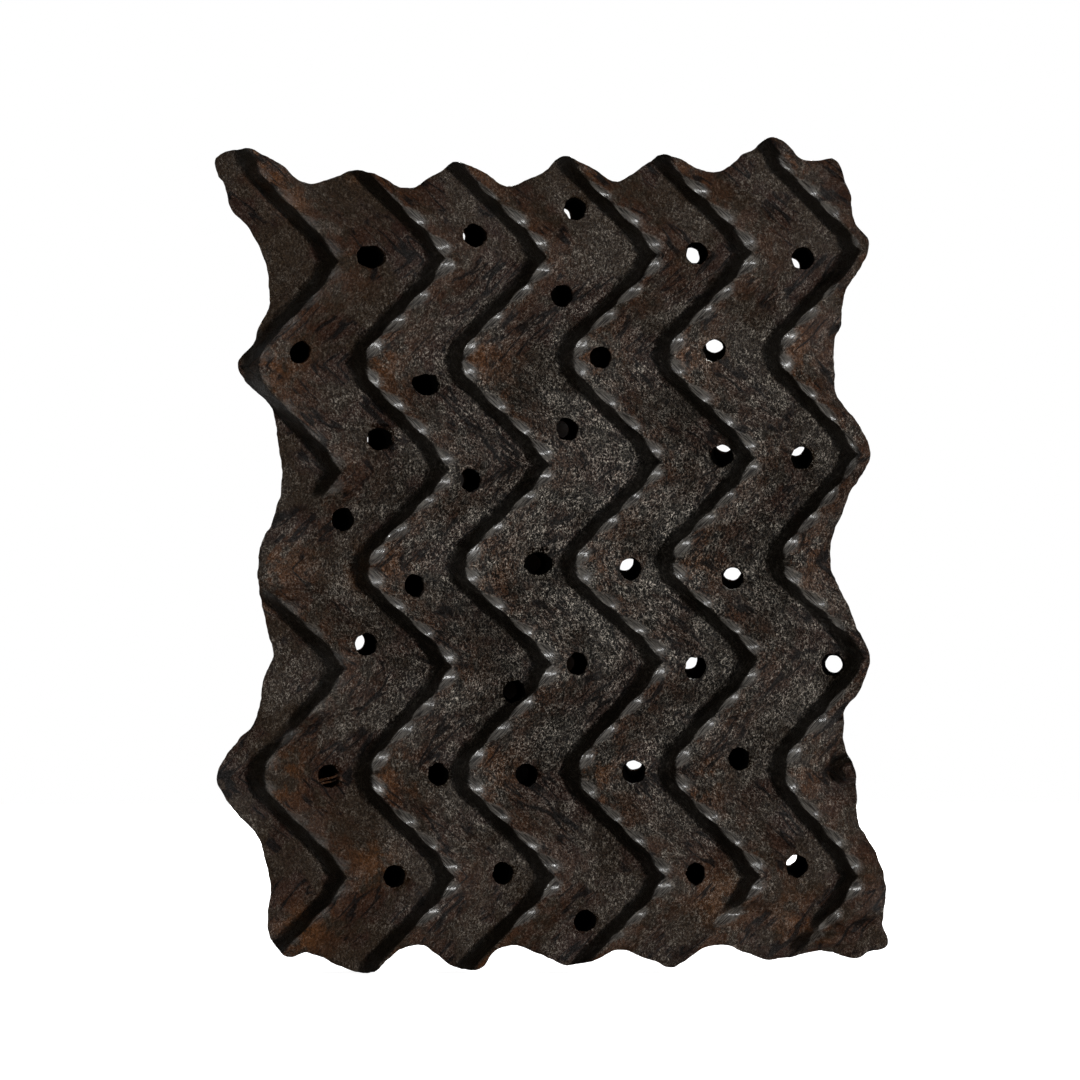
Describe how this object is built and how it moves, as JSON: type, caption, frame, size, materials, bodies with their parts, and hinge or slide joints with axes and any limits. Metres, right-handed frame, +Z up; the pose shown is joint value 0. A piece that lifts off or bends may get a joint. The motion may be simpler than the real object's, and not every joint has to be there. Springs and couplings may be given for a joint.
{
  "type": "textile printing block",
  "caption": "Upright wooden textile printing block: a scalloped plank carved with zigzag ridges and drilled with air holes, with a bridge handle nailed to its back.",
  "frame": {"origin": "middle of the standing object's foot: centred across and front to back, at the lowest point of the plank's bottom edge", "axes": "+Z up the plank, +X to the right as the printing face is seen, printing face looking along -Y, handle on the +Y side"},
  "size_m": [0.184, 0.077, 0.2288],
  "materials": {
    "carved_wood": "dense hardwood, darkened and sealed by dye and handling, with a dull sheen",
    "handle_wood": "bare hardwood worn smooth by the hand",
    "nail_iron": "hand-forged iron, dark and lightly rusted"
  },
  "bodies": {
    "root": {"zigzag_block": "carved_wood", "bridge_handle": "handle_wood", "nail_upper_left": "nail_iron", "nail_upper_right": "nail_iron", "nail_lower_left": "nail_iron", "nail_lower_right": "nail_iron"}
  },
  "joints": []
}
